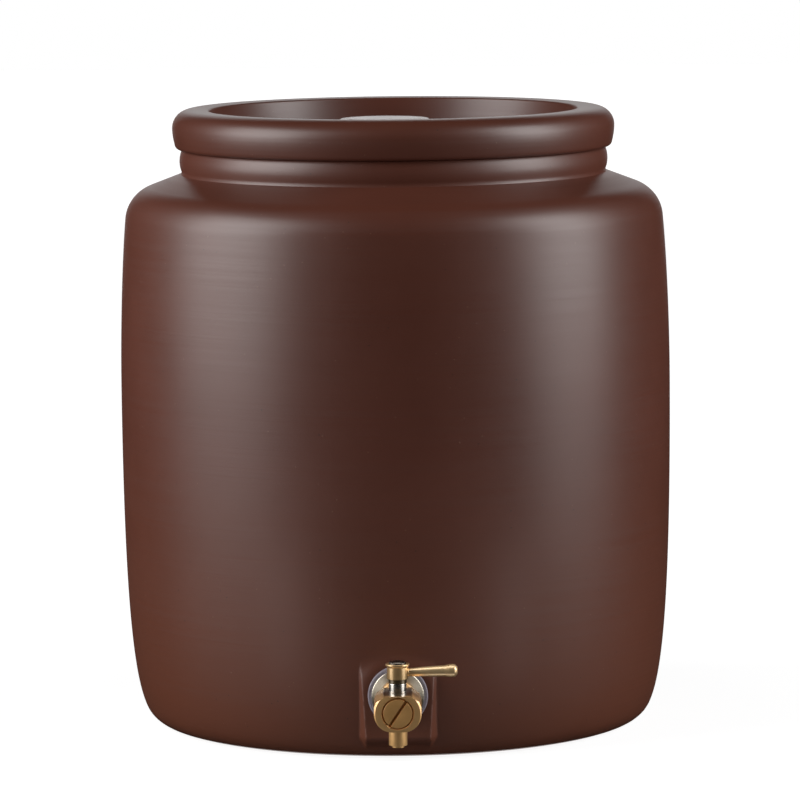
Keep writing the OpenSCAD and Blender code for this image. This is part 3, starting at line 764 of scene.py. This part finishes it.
def thread(radius, depth, start, end, pitch):
    """The grooved outline of a thread, from start to end."""
    points = []
    count = int((end - start) / pitch)
    step = (end - start) / count
    for i in range(count):
        low = start + i * (end - start) / count
        points += [(radius - depth, low), (radius - depth, low + 0.12 * step), (radius, low + 0.45 * step),
                   (radius, low + 0.62 * step)]
    return points + [(radius - depth, end)]


def block_outline():
    """The block seen from the front: a round belly below, flats and facets above."""
    half = 12.25
    belly = 9.3
    right = arc((half - belly, belly - 9.6), belly, -90, 0, 14) + [(half, 3.0), (half - 1.15, 5.9), (7, 8.8)]
    return right + [(-x, z) for x, z in reversed(right)]


def make_tap_body():
    """Threaded tail, collar, neck, block and spout in one casting, with the water ways cut through."""
    tail_end = NUT_START - 2.4
    shaft = [(0, tail_end), (6.2, tail_end)] + thread(TAIL_R, 0.45, tail_end + 0.7, -BOSS_WALL - 1, 1.25)
    shaft += [(TAIL_R, -BOSS_WALL), (TAIL_R, 5.5)]
    shaft += eased([(TAIL_R, 5.5), (9, 5.5, 0.3), (9, 9, 0.5), (7.5, 9.6, 0.5), (7.5, 27.5),
                    (0, 27.5)], 4)[1:]
    body = on_tap(turned("tap_casting", shaft, 96))
    casting = place(bar("tap block", block_outline(), 30), (0, -BOSS_FACE - 27, TAP_Z))
    crown = turned("block crown", [(0, 26.9), (14, 26.9), (14, BLOCK_END - 2.5), (11.5, BLOCK_END),
                                   (0, BLOCK_END)], 96)
    combine(casting, on_tap(crown), "INTERSECT")
    soften(casting, 0.3, 3, 24)
    combine(body, casting, "UNION")
    spout = eased([(0, -6), (5.2, -6), (5.2, -9.5, 0.2), (5.2, -10, 0.4), (4.8, -10.9, 0.5),
                   (4.8, SPOUT_END, 0.25), (OUTLET_R, SPOUT_END, 0.3), (OUTLET_R, -12), (0, -12)], 4)
    combine(body, on_ball(turned("tap spout", spout, 72)), "UNION")
    ways = [
        on_tap(turned("inlet", [(0, -27), (4, -27), (4, 36), (0, 36)], 64)),
        on_tap(turned("chamber", [(0, 34.4), (7, 34.4), (7, 57.5), (0, 57.5)], 72)),
        on_tap(turned("plug seat", [(0, 51), (7.95, 51), (7.95, 56.1), (8.4, 56.7), (8.4, 57.6),
                                    (0, 57.6)], 96)),
        on_ball(turned("outlet", [(0, 0), (OUTLET_R, 0), (OUTLET_R, SPOUT_END - 1), (0, SPOUT_END - 1)], 64)),
        on_ball(turned("gland seat", [(0, 0), (4.1, 0), (4.1, 8.5), (4.4, 8.85), (4.4, 9.9),
                                      (0, 9.9)], 72)),
    ]
    for way in ways:
        combine(body, way, "DIFFERENCE")
    return smooth(body, 30)


dress(make_tap_body(), BRASS_BLOCK, "pot", "brass", "tap_body")


def make_plug():
    """Slotted plug with a chamfered face, standing in the block's front."""
    face = BLOCK_END - 0.1
    outline = eased([(0, 49.7), (5.66, 49.7, 0.2), (5.66, 51.05), (7.85, 51.05, 0.2), (7.85, 55.6),
                     (7.4, 56.2, 0.2), (7.4, face - 0.05, 0.15), (0, face)], 4)
    plug = turned("slotted_plug", outline, 96)
    slot = block("slot", (15.5, 1.5, 4.4), (0, 0, face), (0, 0, 56))
    soften(slot, 0.12, 2)
    combine(plug, slot, "DIFFERENCE")
    soften(plug, 0.12, 2, 40)
    return smooth(on_tap(plug))


dress(make_plug(), BRASS_FACE, "pot", "brass", "front_plug")


def make_gland():
    """Bright bush that guides the stem, with a hole for the stop pin."""
    outline = eased([(2.56, 10), (2.56, 7.95, 0.15), (4.05, 7.95, 0.2), (4.05, 8.8, 0.05), (4.6, 8.8, 0.1),
                     (4.6, 13.7, 0.3), (2.56, 13.7, 0.2),
                     (2.56, 12.3), (3.83, 12.3), (3.83, 9.6), (2.56, 9.6)], 4)
    gland = turned("gland_bush", outline, 96, closed=True)
    hole = turned("pin hole", [(0, 12.6), (0.66, 12.6), (0.66, 14), (0, 14)], 32)
    turn = math.radians(PIN_TURN)
    combine(gland, place(hole, (3.7 * math.cos(turn), 3.7 * math.sin(turn), 0)), "DIFFERENCE")
    return smooth(on_ball(gland))


dress(make_gland(), NICKEL_GLAND, "pot", "nickel", "gland")

# ---------------------------------------------------------------- lever

LEVER_TILT = 1.8


def on_lever(piece):
    """From upright to lying along the lever's line, to +X."""
    place(piece, (0, 0, 0), (0, 90 - LEVER_TILT, 0))
    return place(piece, (0, BALL_Y, TAP_Z + HUB_Z + 3.2))


def make_hub():
    """Round hub with a flared top, a square hole, a seat for the lever and the stop rim below."""
    outline = eased([(0, HUB_Z), (5.4, HUB_Z, 0.2), (5.4, HUB_TOP - 1.7, 0.5), (6.2, HUB_TOP - 0.9, 0.3),
                     (6.2, HUB_TOP, 0.25), (4.9, HUB_TOP, 0.1), (4.9, HUB_TOP - 0.9, 0.1),
                     (0, HUB_TOP - 0.9)], 5)
    hub = on_ball(turned("round_hub", outline, 96))
    seat = eased([(0, 2), (2.3, 2), (2.3, 5.8, 0.2), (0, 5.8)], 3)
    combine(hub, on_lever(turned("lever seat", seat, 48)), "UNION")
    combine(hub, block("square hole", (3.7, 3.7, 9), (0, BALL_Y, TAP_Z + HUB_Z + 3.5)), "DIFFERENCE")
    combine(hub, on_lever(turned("lever hole", [(0, 0.5), (1.6, 0.5), (1.6, 7), (0, 7)], 40)), "DIFFERENCE")
    # Half the angle that the pin takes up, with some play at each end
    edge = 10.1 + 1.5
    rim = drawn("stop rim", [(2.95, 13.95), (4.75, 13.95), (4.75, 15.85), (2.95, 15.85), (2.95, 13.95)])
    bpy.ops.mesh.select_all(action="SELECT")
    bpy.ops.mesh.remove_doubles(threshold=1e-6)
    bpy.ops.mesh.edge_face_add()
    start = PIN_TURN + 90 + edge
    bpy.ops.mesh.spin(steps=60, angle=math.radians(360 - 90 - 2 * edge), center=(0, 0, 0), axis=(0, 0, 1))
    tidy()
    leave()
    place(rim, (0, 0, 0), (0, 0, start))
    combine(hub, on_ball(rim), "UNION")
    return smooth(hub, 30)


dress(make_hub(), BRASS_ROUND, "lever", "brass", "lever_hub")


def make_lever():
    """Tapered rod with a swelling at its free end."""
    outline = eased([(0, 2.3), (1.55, 2.3), (1.55, 5.8), (2.1, 5.8, 0.15), (2.4, 11, 8), (2.75, 18, 8),
                     (2.85, 24, 5), (3.4, 27, 3), (3.35, 29.6, 1.6), (1.9, 31, 1.6), (0, 31)], 6)
    return smooth(on_lever(turned("tapered_lever", outline, 80)), 45)


dress(make_lever(), LEVER_BRASS, "lever", "brass", "lever_rod")


def make_screw():
    """Domed screw with a cross recess, standing on its washer in the hub's recess."""
    seat = HUB_TOP - 0.9
    head = seat + 0.5
    outline = [(0, seat - 6.4), (1.2, seat - 6.4)] + thread(1.5, 0.2, seat - 6.2, seat - 0.2, 0.5)
    outline += eased([(1.5, head), (4.6, head, 0.15), (4.6, head + 0.85, 0.3), (3.9, head + 1.5, 0.6),
                      (2.3, head + 1.7, 1), (0, head + 1.7)], 4)
    screw = turned("cross_screw", outline, 72)
    for turn in (20, 110):
        combine(screw, block("recess", (5.5, 1, 1.8), (0, 0, head + 1.7), (0, 0, turn)), "DIFFERENCE")
    soften(screw, 0.08, 2, 45)
    return smooth(on_ball(screw))


dress(make_screw(), DARK_SCREW, "lever", "dark_screw", "lever_screw")

for name, material in (("valve_ball", CHROME), ("rear_seat", SEAT_PLASTIC), ("front_seat", SEAT_PLASTIC),
                       ("plug_seal", BLACK_RUBBER), ("stem", STEEL), ("stem_washer", SEAT_PLASTIC),
                       ("stem_seals", BLACK_RUBBER), ("stop_pin", STEEL), ("lock_washer", DARK_SCREW)):
    redress(name, material)

# ---------------------------------------------------------------- camera, floor and light

ELEVATION = math.radians(6.5)
AROUND = math.radians(0.1)
ROLL = math.radians(0.54)
DISTANCE = 2.904
level = math.cos(ELEVATION)
back = Vector((math.sin(AROUND) * level, -math.cos(AROUND) * level, math.sin(ELEVATION)))
right = Vector((math.cos(AROUND), math.sin(AROUND), 0))
up = back.cross(right)
aim = Vector((0, 0, 174.8)) * MM + right * 2.3 * MM
side = right * math.cos(ROLL) - up * math.sin(ROLL)
head = right * math.sin(ROLL) + up * math.cos(ROLL)
view = Matrix((side, head, back)).transposed().to_4x4()
view.translation = aim + back * DISTANCE
camera_data = bpy.data.cameras.new("camera")
camera_data.sensor_width = 36
camera_data.lens = 238.5
camera_data.clip_end = 50
camera = bpy.data.objects.new("camera", camera_data)
bpy.context.collection.objects.link(camera)
camera.matrix_world = view
bpy.context.scene.camera = camera


def panel(name, size, spot, towards, strength):
    """A large soft lamp."""
    data = bpy.data.lights.new(name, "AREA")
    data.shape = "RECTANGLE"
    data.size, data.size_y = size
    data.energy = strength * size[0] * size[1] * math.pi
    lamp = bpy.data.objects.new(name, data)
    bpy.context.collection.objects.link(lamp)
    lamp.location = spot
    aim_at = Vector(spot) - Vector(towards)
    lamp.rotation_euler = aim_at.to_track_quat("Z", "Y").to_euler()
    lamp.visible_camera = False
    return lamp


def round_about(turn, away, height):
    """A spot at a turn from the camera's side, to the right, in metres."""
    return (math.sin(math.radians(turn)) * away, -math.cos(math.radians(turn)) * away, height)


panel("left softbox", (1.3, 1.4), round_about(-72, 1.5, 0.8), (0, 0, 0.45), 5.8)
panel("right softbox", (0.9, 1.4), round_about(75, 1.5, 0.8), (0, 0, 0.45), 6.6)


def stage_card(name, material, camera=True, diffuse=True, shadow=True):
    """Makes the object just added a piece of the stage, seen by these rays and always by glossy ones."""
    card = bpy.context.object
    card.name = name
    card.data.materials.append(material)
    card.visible_camera = camera
    card.visible_diffuse = diffuse
    card.visible_shadow = shadow
    return card


def seen_rays(tree):
    """The light path, and 1 for the rays that show a thing: straight, mirrored or through clear stuff."""
    path = tree.nodes.new("ShaderNodeLightPath")
    return path, maths(tree, "MAXIMUM", path.outputs["Is Camera Ray"],
                       maths(tree, "MAXIMUM", path.outputs["Is Glossy Ray"],
                             path.outputs["Is Transmission Ray"]))


def floor_finish():
    """A pale floor that looks white, with a little light coming up close to the pot."""
    made = bpy.data.materials.new("pale floor")
    made.use_nodes = True
    tree = made.node_tree
    shader = tree.nodes["Principled BSDF"]
    shader.inputs["Roughness"].default_value = 0.7
    spot = tree.nodes.new("ShaderNodeTexCoord").outputs["Object"]
    noise = node(tree, "TexNoise", {"Vector": spot, "Scale": 6.0, "Detail": 3.0})
    colour = ramp(tree, noise.outputs["Fac"], [(0.3, 0.22), (0.7, 0.23)])
    tree.links.new(colour, shader.inputs["Base Color"])
    shader.inputs["Specular IOR Level"].default_value = 0.2
    away = node(tree, "VectorMath", {0: spot}, operation="LENGTH").outputs["Value"]
    pale = ramp(tree, away, [(0.2, 0.89), (0.75, 1.0)])
    shader.inputs["Emission Color"].default_value = (1, 1, 1, 1)
    path, seen = seen_rays(tree)
    close = ramp(tree, away, [(0.2, 0.26), (0.5, 0.0)])
    shown = maths(tree, "MULTIPLY", seen, pale)
    glow = maths(tree, "MULTIPLY_ADD", path.outputs["Is Diffuse Ray"], close, shown)
    tree.links.new(glow, shader.inputs["Emission Strength"])
    return made


def plain_card(name, shade):
    """A dull grey or black card's finish."""
    made = bpy.data.materials.new(name)
    made.use_nodes = True
    shader = made.node_tree.nodes["Principled BSDF"]
    shader.inputs["Base Color"].default_value = (shade, shade, shade, 1)
    shader.inputs["Roughness"].default_value = 1
    shader.inputs["Specular IOR Level"].default_value = 0
    return made


DARK_CARD = plain_card("black flag", 0.012)
FLAG_R = 3.4
FLAG_H = 2.6

deselect()
bpy.ops.mesh.primitive_plane_add(size=14, location=(0, 0, -0.0001))
stage_card("floor", floor_finish())
# Black flags all round, open behind the pot, so that the clay mirrors the lamps and the white back alone
deselect()
bpy.ops.mesh.primitive_cylinder_add(vertices=96, radius=FLAG_R, depth=FLAG_H, end_fill_type="NOTHING",
                                    location=(0, 0, FLAG_H / 2))
flags = stage_card("black flags", DARK_CARD, camera=False, diffuse=False, shadow=False)
edit(flags)
bpy.ops.mesh.select_all(action="DESELECT")
bpy.ops.mesh.select_mode(type="FACE")
leave()
for face in flags.data.polygons:
    turn = math.degrees(math.atan2(face.center.x, face.center.y))
    face.select = abs(turn) < 20
edit(flags)
bpy.ops.mesh.delete(type="FACE")
leave()
for label, height in (("floor flag", 0.0015), ("ceiling flag", FLAG_H)):
    deselect()
    bpy.ops.mesh.primitive_circle_add(vertices=96, radius=FLAG_R, fill_type="NGON", location=(0, 0, height))
    stage_card(label, DARK_CARD, camera=False, diffuse=False, shadow=False)


def tap_card(label, size, spot, turn, strength):
    """A small white card for the tap's metal to mirror. It shines from its back, straight ahead alone."""
    made = plain_card(label, 0)
    tree = made.node_tree
    shader = tree.nodes["Principled BSDF"]
    shader.inputs["Emission Color"].default_value = (1, 1, 1, 1)
    behind = tree.nodes.new("ShaderNodeNewGeometry").outputs["Backfacing"]
    askew = tree.nodes.new("ShaderNodeLayerWeight").outputs["Facing"]
    grid = node(tree, "MapRange", {0: askew, 1: 0.06, 2: 0.3, 3: strength, 4: 0.0}).outputs[0]
    tree.links.new(grid, shader.inputs["Emission Strength"])
    tree.links.new(behind, shader.inputs["Alpha"])
    deselect()
    bpy.ops.mesh.primitive_plane_add(size=1, location=spot, rotation=[math.radians(v) for v in turn])
    bpy.context.object.scale = (*size, 1)
    stage_card(label, made, camera=False, diffuse=False, shadow=False)


tap_card("top card", (0.1, 0.05), (0.012, -0.205, 0.13), (0, 0, 0), 2.0)
tap_card("low card", (0.11, 0.07), (0.014, -0.23, 0.003), (180, 0, 0), 0.9)
tap_card("left card", (0.1, 0.09), (-0.15, -0.24, 0.047), (90, 0, -80), 1.3)
tap_card("right card", (0.1, 0.09), (0.15, -0.24, 0.047), (90, 0, 80), 1.3)

world = bpy.data.worlds.new("white room")
bpy.context.scene.world = world
world.use_nodes = True
room = world.node_tree
backdrop = room.nodes["Background"]
backdrop.inputs["Color"].default_value = (1, 1, 1, 1)
room.links.new(maths(room, "MULTIPLY_ADD", seen_rays(room)[1], 0.98, 0.02), backdrop.inputs["Strength"])

bpy.context.scene.view_settings.view_transform = "Standard"
